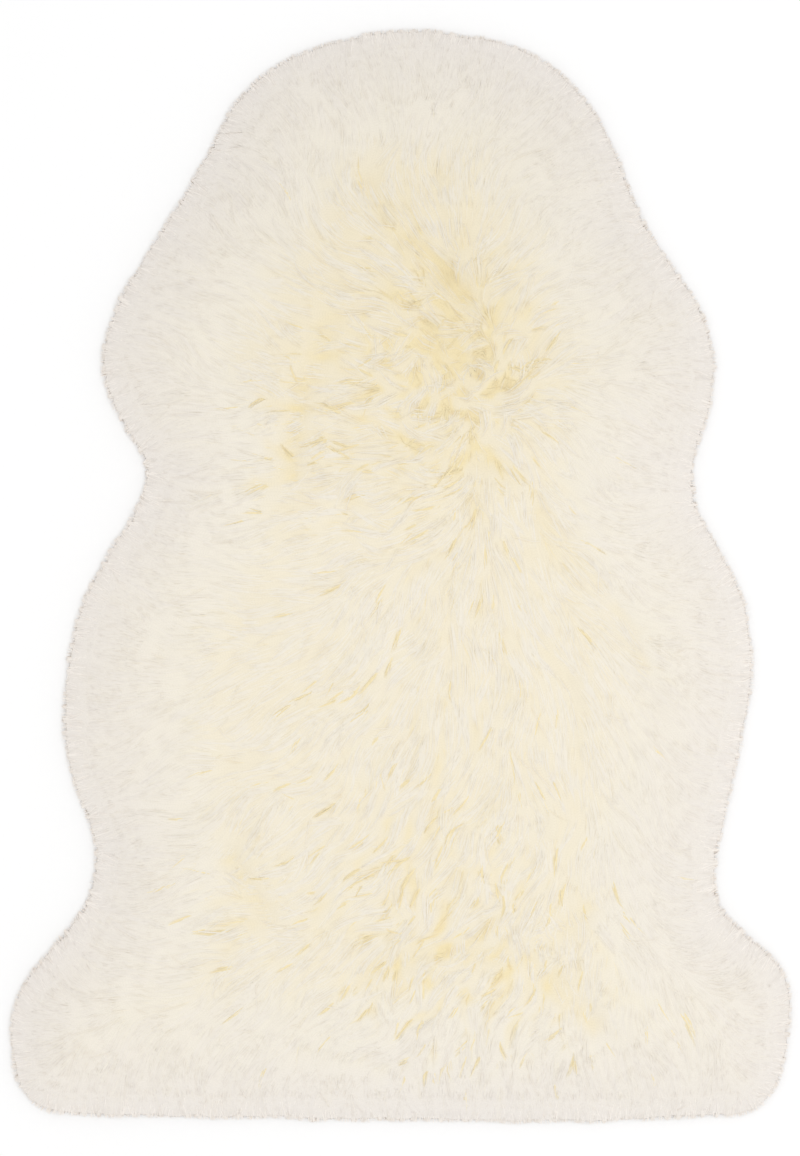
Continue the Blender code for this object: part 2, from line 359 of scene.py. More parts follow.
@dataclass(frozen=True)
class WoolFinish:
    """Long fine wool: whitest at the rug's edge and its tips, straw yellow at its roots."""

    # whiter, less yellow wool at the edge, also darkened a little there as painted shade of the rounded
    # rim
    edge: Colour = (0.87, 0.82, 0.765, 1.0)
    cream: Colour = (0.895, 0.838, 0.718, 1.0)
    straw: Colour = (0.905, 0.78, 0.49, 1.0)
    cream_warmth: float = 0.5  # how warm wool of that colour is, where straw is 1
    neck_tone: float = 0.96  # how bright the wool is at the neck, as a share of the rest
    neck: Span = (0.05, 0.34)  # from where along the rug to where that comes on
    fringe_tone: float = 1.09  # painted light: how bright the fringe is, as a share of the wool beside it, to lift the shade among its tips at the rim
    tip_warmth: float = 0.8  # how warm the tips are, as a share of the wool's warmth there
    root_warmth: float = 0.8  # how much warmer than that the roots are
    root_power: float = 2.0  # how closely that keeps to the roots
    under_warmth: float = 1.25  # how warm the underwool is
    patch_scale: float = 14.0  # how fine its cooler and warmer patches are
    patch_warmth: float = 0.08
    soft_detail: float = 2.0  # how many finer layers the patches and the grain have
    spread: float = 0.015  # how much darker than the palest strand the darkest is
    under_tone: float = 0.97  # how bright the underwool's palest streaks are
    under_spread: float = 0.05
    roughness: float = 0.62
    sheen: float = 0.35
    specular: float = 0.2
    grain_scale: tuple[float, float, float] = (14.0, 1.5, 1.0)  # how fine a strand is grained
    grain_depth: float = 0.0002
    fibre_bump: float = 0.06
    fibre_scale: float = 800.0
    fibre_length: float = 0.012
    fibre_depth: float = 0.0006

    def material(self, layer: Layer) -> bpy.types.Material:
        """The wool's material.

        Args:
            layer: Which layer of the wool it is for.

        Returns:
            The material, which reads the piece's wool attribute and its wisp map.
        """
        shading = Shading("wool_" + layer.value)
        place = shading.place()
        said = shading.node("Attribute", attribute_name="wool").outputs["Vector"]
        along, warmth, variety = shading.node("SeparateXYZ", {0: said}).outputs

        if layer is not Layer.UNDERWOOL:
            to_root = shading.maths("POWER", shading.maths("SUBTRACT", 1.0, along), self.root_power)
            share = shading.maths("MULTIPLY_ADD", to_root, self.root_warmth, self.tip_warmth)
            # the fringe is painted brighter, to lift the shade that falls among its tips
            palest = self.fringe_tone if layer is Layer.FRINGE else 1.0
            darkest = palest - self.spread
        else:
            share = self.under_warmth
            darkest, palest = self.under_tone - self.under_spread, self.under_tone
            flow = shading.node("Attribute", attribute_name="lie").outputs["Vector"]
            variety = shading.streaks(place, flow, self.fibre_scale, self.fibre_length)
        patches = shading.noise(place, self.patch_scale, self.soft_detail)
        patches = shading.ranged(patches, -self.patch_warmth, self.patch_warmth)
        warm = shading.maths("MULTIPLY_ADD", warmth, share, patches)

        ramp = shading.node("ValToRGB", {"Fac": warm})
        stops = ramp.color_ramp.elements
        stops[0].color = self.edge
        stops[1].color = self.straw
        stops.new(self.cream_warmth).color = self.cream

        forward = shading.node("SeparateXYZ", {0: place}).outputs["Y"]
        at_neck = shading.ranged(forward, 1.0, self.neck_tone, *self.neck)
        bright = shading.maths("MULTIPLY", shading.ranged(variety, darkest, palest), at_neck)
        tone = shading.node("HueSaturation", {"Color": ramp.outputs["Color"], "Value": bright})
        shading.wear({"Base Color": tone.outputs["Color"], "Roughness": self.roughness})
        shading.wear({"Sheen Weight": self.sheen, "Specular IOR Level": self.specular})

        if layer is not Layer.UNDERWOOL:
            wisp = shading.node("UVMap", uv_map="wisp").outputs["UV"]
            stretch = shading.node("Mapping", {"Vector": wisp, "Scale": self.grain_scale})
            grain = shading.noise(stretch.outputs["Vector"], 1.0, self.soft_detail)
            shading.bump(grain, self.fibre_bump, self.grain_depth)
        else:
            shading.bump(variety, self.fibre_bump, self.fibre_depth)
        return shading.material


@dataclass(frozen=True)
class SuedeFinish:
    """The flesh side of a tanned skin: matt, napped and a little blotched."""

    pale: Colour = (0.68, 0.57, 0.43, 1.0)
    dark: Colour = (0.50, 0.38, 0.26, 1.0)
    mottle_span: Span = (0.3, 0.7)  # from which mottle to which it turns from dark to pale
    blotch_share: float = 0.75  # how much of the mottle is blotches, and not nap
    blotch_scale: float = 9.0
    blotch_detail: float = 5.0
    nap_scale: float = 420.0
    nap_detail: float = 6.0
    nap_bump: float = 0.5
    nap_depth: float = 0.0004
    roughness: float = 0.92
    sheen: float = 0.3

    def material(self) -> bpy.types.Material:
        """The suede's material, which reads Object coordinates."""
        shading = Shading("suede")
        place = shading.place()
        blotches = shading.noise(place, self.blotch_scale, self.blotch_detail)
        blotches = shading.maths("MULTIPLY", blotches, self.blotch_share)
        nap = shading.noise(place, self.nap_scale, self.nap_detail)
        mottle = shading.maths("MULTIPLY_ADD", nap, 1 - self.blotch_share, blotches)
        ramp = shading.node("ValToRGB", {"Fac": mottle})
        stops = ramp.color_ramp.elements
        for stop, position, colour in zip(stops, self.mottle_span, (self.dark, self.pale)):
            stop.position, stop.color = position, colour
        shading.wear({"Base Color": ramp.outputs["Color"], "Roughness": self.roughness})
        shading.wear({"Sheen Weight": self.sheen})
        shading.bump(nap, self.nap_bump, self.nap_depth)
        return shading.material


@dataclass(frozen=True)
class FloorFinish:
    """A plain pale matt floor."""

    colour: Colour = (0.96, 0.96, 0.96, 1.0)
    roughness: float = 1.0

    def material(self) -> bpy.types.Material:
        """The floor's material."""
        shading = Shading("pale_floor")
        shading.wear({"Base Color": self.colour, "Roughness": self.roughness, "Specular IOR Level": 0.0})
        return shading.material


class Said(NamedTuple):
    """What the pelt says of some places."""

    height: Array
    bed: Array
    inside: Array
    warmth: Array
    ruffle: Array
    spread: Array
    across: Array
    outward: Array
    lie: Array
    slope: Array

    @property
    def ruffled(self) -> Array:
        """How ruffled the wool is, 1 at most."""
        return np.minimum(self.ruffle, 1)

    def facing(self, tilt: Array | float, steepest: float) -> Array:
        """Which way the wool's surface faces.

        Args:
            tilt: How much further it leans, as x and y, or 0 for no further.
            steepest: The steepest slope that it is taken to have.

        Returns:
            Unit vectors.
        """
        steep = np.maximum(np.linalg.norm(self.slope, axis=-1, keepdims=True) / steepest, 1.0)
        upwards = np.ones_like(self.slope[..., :1])
        return unit(np.concatenate([tilt - self.slope / steep, upwards], axis=-1))


@dataclass
class Pelt:
    """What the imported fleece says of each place: height, way to the edge, combing and warmth."""

    step: float = 0.002  # between the places that are measured
    margin: float = 0.030  # how far past the fleece they reach
    outward_reach: float = 0.050  # how far in from the edge the wool is combed straight outwards
    warm_reach: float = 0.120  # how far in from the edge the wool has its full cream
    full_warmth: float = 0.5
    warm_power: float = 0.8  # below 1, it warms fastest at the edge
    tumble: float = math.radians(11)  # how far the combing wanders
    tumble_length: Span = (0.05, 0.16)
    edge_calm: float = 0.6  # how much less it wanders at the edge
    crimp: float = math.radians(20)  # how far the wool waves where it is ruffled
    crimp_length: Span = (0.026, 0.055)
    waves: int = 14
    lock_roots: float = 0.003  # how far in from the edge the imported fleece's rim locks end
    whole: float = 0.009  # how far in no notch between those locks lowers it
    carry: int = 60  # how often the height there is blended outwards
    edge_blend: int = 3  # how often the edge is blended
    bed_blend: int = 5  # how often the heights are
    slope_blend: int = 10  # how often they are before their slopes are taken
    spread_blend: int = 4  # how often the combing's spread is
    lock_blend: int = 3  # how often the locks' heights are
    valley_blend: int = 16  # how often they are to find the gaps between locks
    spill: float = 0.0065  # how far past the edge the wool's body reaches
    brow: float = 0.019  # how far in from there it has its full height
    rim: float = 0.0029  # how high it stands at its own edge
    droop: float = 0.003  # how far past that its tips have sunk to the floor
    parting_depth: float = 0.004
    parting_warmth: float = 0.25
    valley_depth: float = 0.0010  # how deep a gap between locks is when it is yellowest
    valley_warmth: float = 0.85  # how much warmer such a gap is where the wool is ruffled: partly the yellower roots there, partly painted warm shade
    calm_valley: float = 0.1  # the share of that where it is smooth
    low: Array = field(init=False)
    fields: Array = field(init=False)

    def __post_init__(self) -> None:
        """Measures the fleece over a grid of places."""
        low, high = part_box("fleece")
        self.low = np.array(low.xy) - self.margin
        counts = np.ceil((np.array(high.xy) + self.margin - self.low) / self.step).astype(int) + 1
        xs, ys = (self.low[k] + np.arange(counts[k]) * self.step for k in (0, 1))
        places = np.stack(np.meshgrid(xs, ys), axis=-1)
        heights = self.measured_heights(places)
        inside = self.way_in(heights, places)
        outward = unit(-np.stack(self.slopes(inside), axis=-1))
        lie = self.combed(places, inside, outward)
        spread = self.slopes(lie[..., 0])[0] + self.slopes(lie[..., 1])[1]
        parted = self.parted(places)
        bed = self.bed(heights, inside, parted)
        self.fields = np.zeros((*heights.shape, SLOPE.stop))
        self.fields[..., BED] = self.fields[..., HEIGHT] = bed
        self.fields[..., SLOPE] = np.stack(self.slopes(self.blurred(bed, self.slope_blend)), axis=-1)
        self.fields[..., INSIDE] = inside
        self.fields[..., WARMTH] = self.warmth(places, inside) + self.parting_warmth * parted
        self.fields[..., RUFFLE] = self.patched(places, RUFFLED_PATCHES) + parted
        self.fields[..., SPREAD] = self.blurred(spread, self.spread_blend)
        self.fields[..., ACROSS] = self.across(places, inside)
        self.fields[..., OUTWARD], self.fields[..., LIE] = outward, lie

    def measured_heights(self, places: Array) -> Array:
        """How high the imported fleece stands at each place.

        Args:
            places: The grid's x and y.

        Returns:
            Its heights over the floor, 0 outside the fleece.
        """
        solid = merged_copy("fleece")
        tree = BVHTree.FromBMesh(solid)
        solid.free()
        down, above = Vector((0, 0, -1)), CAD_BOX[1].z + 1
        heights = np.zeros(places.shape[:2])
        for row, column in np.ndindex(*heights.shape):
            x, y = places[row, column]
            hit = tree.ray_cast(Vector((x, y, above)), down)[0]
            heights[row, column] = hit.z if hit else 0.0
        return heights

    def bed(self, heights: Array, inside: Array, parted: Array) -> Array:
        """How high the wool lies at each place before its locks are raised.

        Args:
            heights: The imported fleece's height at each place.
            inside: How far each is inside the edge.
            parted: How far the wool parts there.

        Returns:
            The heights, which fall evenly from the brow to the rim, and from there to the floor.
        """
        solid = (inside > self.whole).astype(float)
        weight = np.maximum(self.blurred(solid, self.carry), 1e-9)
        carried = self.blurred(heights * solid, self.carry) / weight
        full = self.blurred(np.where(solid > 0, heights, carried), self.bed_blend)
        full -= self.parting_depth * parted
        share = np.clip((inside + self.spill) / self.brow, 0, 1)
        body = self.rim + (full - self.rim) * share
        tips = self.rim * np.clip(1 + (inside + self.spill) / self.droop, 0, 1)
        return np.where(inside > -self.spill, body, tips)

    def way_in(self, heights: Array, places: Array) -> Array:
        """How far each place lies inside the edge of the wool, and below 0 outside it.

        Args:
            heights: The fleece's height at each place.
            places: The grid's x and y.

        Returns:
            The distances, in metres.
        """
        covered = self.blurred((heights > 0).astype(float), self.edge_blend) > 0.5
        ringed = np.ones_like(covered)
        for axis in (0, 1):
            ringed &= np.roll(covered, 1, axis) & np.roll(covered, -1, axis)
        edge = places[covered & ~ringed]
        tree = KDTree(len(edge))
        for index, (x, y) in enumerate(edge):
            tree.insert((x, y, 0), index)
        tree.balance()
        distance = np.array([tree.find((x, y, 0))[2] for x, y in places.reshape(-1, 2)])
        distance = distance.reshape(covered.shape)
        return self.blurred(np.where(covered, distance, -distance), self.edge_blend)

    def across(self, places: Array, inside: Array) -> Array:
        """Where each place lies between the left edge, 0, and the right edge, 1.

        Args:
            places: The grid's x and y.
            inside: How far each is inside the edge.

        Returns:
            The shares.
        """
        x = places[..., 0]
        wool = inside > 0
        left = np.where(wool, x, np.inf).min(axis=1, keepdims=True)
        right = np.where(wool, x, -np.inf).max(axis=1, keepdims=True)
        some = wool.any(axis=1, keepdims=True)
        left, right = np.where(some, left, 0.0), np.where(some, right, 1.0)
        return (x - left) / np.maximum(right - left, self.step)

    def combed(self, places: Array, inside: Array, outward: Array) -> Array:
        """The way the wool lies at each place.

        Args:
            places: The grid's x and y.
            inside: How far each is inside the edge.
            outward: The way from each to the edge.

        Returns:
            Unit vectors.
        """
        rows = np.array([row[0] for row in reversed(COMBING)]) * MM
        angles = np.radians([row[1:] for row in reversed(COMBING)])
        row, up = self.step_of(places[..., 1], rows)
        column, over = self.step_of(places[..., 0], np.array(COMBING_COLUMNS) * MM)
        lie = np.zeros(places.shape)
        for r, row_share in ((row, 1 - up), (row + 1, up)):
            for c, column_share in ((column, 1 - over), (column + 1, over)):
                way = np.stack([np.cos(angles[r, c]), np.sin(angles[r, c])], axis=-1)
                lie += way * (row_share * column_share)[..., None]
        at_edge = np.exp(-((np.maximum(inside, 0) / self.outward_reach) ** 2))[..., None]
        lie = unit(unit(lie) * (1 - at_edge) + outward * at_edge)
        draw = np.random.default_rng(SEED)
        turn = self.tumble * self.wander(places, self.tumble_length, draw)
        turn *= 1 - self.edge_calm * at_edge[..., 0]
        ruffle = np.minimum(self.patched(places, RUFFLED_PATCHES), 1)
        turn += self.crimp * self.wander(places, self.crimp_length, draw) * ruffle
        return turned(lie, turn + np.radians(self.patched(places, WHORLS)))

    def wander(self, places: Array, lengths: Span, draw: Chance) -> Array:
        """Waves that keep the combing from running too evenly.

        Args:
            places: The grid's x and y.
            lengths: How long the shortest and the longest wave are.
            draw: The source of chance.

        Returns:
            The waves' sum, mostly between -1 and 1.
        """
        total = np.zeros(places.shape[:2])
        for _ in range(self.waves):
            heading, length = draw.uniform(0, math.tau), draw.uniform(*lengths)
            across = places @ np.array([math.cos(heading), math.sin(heading)])
            total += np.sin(across * math.tau / length + draw.uniform(0, math.tau))
        return total / math.sqrt(self.waves / 2)

    def warmth(self, places: Array, inside: Array) -> Array:
        """How yellow the wool is at each place: 0 at the edge, 0.5 over the back, 1 at most.

        Args:
            places: The grid's x and y.
            inside: How far each is inside the edge.

        Returns:
            The warmth.
        """
        share = np.clip(inside / self.warm_reach, 0, 1)
        return self.full_warmth * share**self.warm_power + self.patched(places, WARM_PATCHES)

    @staticmethod
    def parted(places: Array) -> Array:
        """How far the wool parts at each place.

        Args:
            places: The places.

        Returns:
            The strength of the partings, 0 away from them.
        """
        total = np.zeros(places.shape[:2])
        for line in PARTINGS:
            start, end = np.array([line.x0, line.y0]) * MM, np.array([line.x1, line.y1]) * MM
            along = end - start
            share = np.clip((places - start) @ along / (along @ along), 0, 1)[..., None]
            apart = np.linalg.norm(places - start - along * share, axis=-1)
            total += line.strength * np.exp(-((apart / (line.half_width * MM)) ** 2))
        return total

    def slopes(self, grid: Array) -> tuple[Array, Array]:
        """How fast a grid's values rise along x and along y."""
        along_y, along_x = np.gradient(grid, self.step)
        return along_x, along_y

    @staticmethod
    def patched(places: Array, patches: tuple[Patch, ...]) -> Array:
        """How strong some round patches are at each place.

        Args:
            places: The grid's x and y.
            patches: The patches.

        Returns:
            Their strength, 0 away from them.
        """
        total = np.zeros(places.shape[:2])
        for patch in patches:
            apart = np.linalg.norm(places - np.array([patch.x, patch.y]) * MM, axis=-1)
            total += patch.strength * np.exp(-((apart / (patch.radius * MM)) ** 2))
        return total

    @staticmethod
    def step_of(values: Array, steps: Array) -> tuple[Array, Array]:
        """The step below each value in a rising row of steps, and how far it is to the next."""
        at = np.clip(np.searchsorted(steps, values) - 1, 0, len(steps) - 2)
        return at, np.clip((values - steps[at]) / (steps[at + 1] - steps[at]), 0, 1)

    @staticmethod
    def blurred(grid: Array, times: int) -> Array:
        """A grid with each value blended into its neighbours'.

        Args:
            grid: The values.
            times: How often they are blended.

        Returns:
            The softer grid.
        """
        for _ in range(times):
            for axis in (0, 1):
                grid = (np.roll(grid, 1, axis) + np.roll(grid, -1, axis) + 2 * grid) / 4
        return grid

    def at(self, points: Array) -> Said:
        """What the pelt says at points between the measured places.

        Args:
            points: Their x and y, in the last axis.

        Returns:
            Each measure of them.
        """
        where = (points - self.low) / self.step
        limit = np.array(self.fields.shape[1::-1]) - 2
        corner = np.clip(np.floor(where).astype(int), 0, limit)
        share = np.clip(where - corner, 0, 1)
        x, y = corner[..., 0], corner[..., 1]
        over, up = share[..., :1], share[..., 1:]
        below = self.fields[y, x] * (1 - over) + self.fields[y, x + 1] * over
        above = self.fields[y + 1, x] * (1 - over) + self.fields[y + 1, x + 1] * over
        found = below * (1 - up) + above * up
        plain = np.moveaxis(found[..., : ACROSS + 1], -1, 0)
        return Said(*plain, unit(found[..., OUTWARD]), unit(found[..., LIE]), found[..., SLOPE])

    def raise_locks(self, places: Array, heights: Array) -> None:
        """Raises the wool's surface by the locks that lie on it, and yellows the gaps between them.

        Args:
            places: Points spread closely over each lock.
            heights: How high the lock stands there.
        """
        relief = np.zeros(self.fields.shape[:2])
        column, row = np.moveaxis(((places - self.low) / self.step).round().astype(int), -1, 0)
        np.maximum.at(relief, (row, column), heights)
        relief = self.blurred(relief, self.lock_blend)
        deep = self.blurred(relief, self.valley_blend) - relief
        valley = np.clip(deep / self.valley_depth, 0, 1)
        ruffle = np.minimum(self.fields[..., RUFFLE], 1)
        self.fields[..., HEIGHT] += relief
        # the gaps between locks are yellowed: partly their yellower roots, partly painted warm shade
        self.fields[..., WARMTH] += self.valley_warmth * valley * (self.calm_valley + ruffle)


@dataclass
class Tresses:
    """Many strands of wool at once, one row of each array to a strand."""

    root: Array  # x and y where it starts
    length: Array
    width: Array  # its own, or its lock's
    turn: Array  # how far it leaves the combing at its root, in radians
    bend: Array  # how much further it turns by its tip
    wave: Array  # how far its waves turn it
    phase: Array
    reach: Array  # how far past the wool's edge it may end
    warmth: Array
    variety: Array
    rise: Array | float = 0.0  # how high over its lock it arches
    depth: Array | float = 1.0  # how high up in the wool it lies, as a share of the wool's height
    aside: Array | float = 0.0  # the share of the way from its lock's middle to its side
    behind: Array | float = 0.0  # how far its root lies ahead of its lock's, as a share of its length
    crest: Array | float = 0.0  # how strongly its lock is raised
    tilt: Array | float = 0.0  # how far the wool leans to the strand's left there
    roll: Array | float = 0.0

    def __post_init__(self) -> None:
        """Gives each strand its own row of a measure that is the same for all."""
        alike = {name: value for name, value in vars(self).items() if not np.ndim(value)}
        for name, value in alike.items():
            setattr(self, name, np.full(len(self.root), value))

    def only(self, chosen: Array) -> "Tresses":
        """Some of the strands, chosen by a mask or by their numbers."""
        return Tresses(**{name: values[chosen] for name, values in vars(self).items()})

    def with_more(self, others: "Tresses") -> "Tresses":
        """These strands and others, in one."""
        both = {name: (values, vars(others)[name]) for name, values in vars(self).items()}
        return Tresses(**{name: np.concatenate(pair) for name, pair in both.items()})


class Laid(NamedTuple):
    """Strands laid on the rug, by strand and ring."""

    paths: Array
    facing: Array  # which way the wool's surface faces there
    shading: Array  # the same, with the roundness of its locks
    warmth: Array

    def only(self, chosen: Array) -> "Laid":
        """Some of the strands, chosen by a mask."""
        return Laid(*(values[chosen] for values in self))


@dataclass
class Strand:
    """One strand of wool, a closed taper drawn once and repeated over the rug."""

    sides: int = 3
    shares: tuple[float, ...] = (0.0, 0.38, 0.74, 1.0)  # how far along each ring lies
    widths: tuple[float, ...] = (0.7, 1.0, 0.75, 0.0)  # the share of full width there
    flatness: float = 0.3  # its thickness as a share of its width
    roundness: float = 0.08  # how much of its shading is its own, and not the wool's round it
    root_cell: float = 0.08  # the share of its cell of the map that the root's end takes
    root_fit: float = 0.4  # the radius of that end there, as a share of its place
    cell_margin: float = 0.09  # how much of a cell stays free at each side
    cell_aspect: float = 2.0  # how much longer along the strand a cell is than across it
    wisp_shift: Span = (7.0, 1.0)  # how far apart strands with other waves lie on the wisp map
    ring: Array = field(init=False)
    profile: Array = field(init=False)
    corners: Array = field(init=False)
    above: Array = field(init=False)  # for each corner, 1 on the strand's upper faces and -1 below
    starts: Array = field(init=False)
    cell: Array = field(init=False)

    def __post_init__(self) -> None:
        """Draws the strand out of a small polygon and keeps it as arrays."""
        bm = bmesh.new()
        bmesh.ops.create_circle(bm, cap_ends=True, segments=self.sides, radius=1.0)
        end = bm.faces[:]
        for number, _ in enumerate(self.shares[1:]):
            made = bmesh.ops.extrude_face_region(bm, geom=end)["geom"]
            if number:
                bmesh.ops.delete(bm, geom=end, context="FACES_ONLY")
            end = [item for item in made if isinstance(item, bmesh.types.BMFace)]
            points = [item for item in made if isinstance(item, bmesh.types.BMVert)]
            bmesh.ops.translate(bm, verts=points, vec=(0, 0, 1))
        bmesh.ops.pointmerge(bm, verts=points, merge_co=(0, 0, len(self.shares) - 1))
        bmesh.ops.recalc_face_normals(bm, faces=bm.faces)
        bm.verts.index_update()
        places = np.array([vert.co[:] for vert in bm.verts])
        self.ring = places[:, 2].round().astype(int)
        self.profile = places[:, :2]
        self.corners = np.array([loop.vert.index for face in bm.faces for loop in face.loops])
        counts = [len(face.verts) for face in bm.faces]
        self.above = np.repeat([1.0 if face.normal.y > 0 else -1.0 for face in bm.faces], counts)
        self.starts = np.concatenate([[0], np.cumsum(counts)[:-1]])
        self.cell = np.array([self.map_place(face, loop) for face in bm.faces for loop in face.loops])
        bm.free()

    def map_place(self, face: bmesh.types.BMFace, loop: bmesh.types.BMLoop) -> tuple[float, float]:
        """Where a corner of the strand lies in its cell of the map.

        Args:
            face: The corner's face.
            loop: The corner.

        Returns:
            Its share of the way along the cell and across it.
        """
        x, y, ring = loop.vert.co
        middle = face.calc_center_median()
        if middle.xy.length < TINY:
            return self.root_fit * self.root_cell * (1 + x), 0.5 + self.root_fit * y
        facing = math.atan2(middle.y, middle.x)
        at_tip = math.hypot(x, y) < TINY
        swing = 0.0 if at_tip else math.remainder(math.atan2(y, x) - facing, math.tau)
        number = math.floor(facing % math.tau / math.tau * self.sides)
        along = self.root_cell + (1 - self.root_cell) * self.shares[round(ring)]
        return along, (number + 0.5) / self.sides + swing / math.tau

    def repeated(self, name: str, laid: Laid, tresses: Tresses) -> bpy.types.Mesh:
        """One mesh with a copy of the strand along each path.

        Args:
            name: The mesh's name.
            laid: Where the strands lie.
            tresses: Their widths, rolls and shades.

        Returns:
            The mesh, with its wool attribute and its two maps.
        """
        count, size = len(laid.paths), len(self.ring)
        ahead = unit(np.gradient(laid.paths, axis=1))
        side = unit(np.cross(laid.facing, ahead))
        side, crown = side[:, self.ring], np.cross(ahead, side)[:, self.ring]
        rolled = turned(self.profile[None], tresses.roll[:, None])[..., None]
        half = (tresses.width[:, None] / 2 * np.array(self.widths)[self.ring])[..., None]
        over, up = side * rolled[:, :, 0], crown * rolled[:, :, 1]
        places = laid.paths[:, self.ring] + (over + up * self.flatness) * half
        round_ones = (over + up)[:, self.corners] * self.roundness
        level = laid.shading[:, self.ring][:, self.corners] * self.above[:, None]
        normals = unit(level * (1 - self.roundness) + round_ones)

        mesh = bpy.data.meshes.new(name)
        mesh.vertices.add(count * size)
        mesh.vertices.foreach_set("co", places.astype(np.float32).ravel())
        mesh.loops.add(count * len(self.corners))
        corners = self.corners + np.arange(count)[:, None] * size
        mesh.loops.foreach_set("vertex_index", corners.astype(np.int32).ravel())
        mesh.polygons.add(count * len(self.starts))
        starts = self.starts + np.arange(count)[:, None] * len(self.corners)
        mesh.polygons.foreach_set("loop_start", starts.astype(np.int32).ravel())
        mesh.update(calc_edges=True)

        wool = np.empty((count, size, 3), np.float32)
        wool[..., 0] = np.array(self.shares)[self.ring]
        wool[..., 1] = laid.warmth[:, self.ring] + tresses.warmth[:, None]
        wool[..., 2] = tresses.variety[:, None]
        mesh.attributes.new("wool", "FLOAT_VECTOR", "POINT").data.foreach_set("vector", wool.ravel())

        columns = math.ceil(math.sqrt(count / self.cell_aspect))
        rows = math.ceil(count / columns)
        number = np.arange(count)
        cell = np.stack([number % columns, number // columns], axis=-1)[:, None]
        inner = self.cell_margin + self.cell * (1 - 2 * self.cell_margin)
        atlas = (cell + inner) / np.array([columns, rows])
        mesh.uv_layers.new(name="OFBake").uv.foreach_set("vector", atlas.astype(np.float32).ravel())
        wisp = self.cell[..., ::-1] + tresses.phase[:, None, None] * np.array(self.wisp_shift)
        mesh.uv_layers.new(name="wisp").uv.foreach_set("vector", wisp.astype(np.float32).ravel())
        mesh.shade_smooth()
        mesh.normals_split_custom_set(normals.reshape(-1, 3))
        return mesh


class Side(Enum):
    """Which side of the rug strands lie on."""

    UPPER = "upper"
    UNDER = "under"


class Rim(NamedTuple):
    """The strands at the rug's edge, on one side of it."""

    strands: int
    depth: Span  # how far in from the edge they start
    length: Span
    width: float  # as a share of other strands'
    rise: float  # how far they arch at most


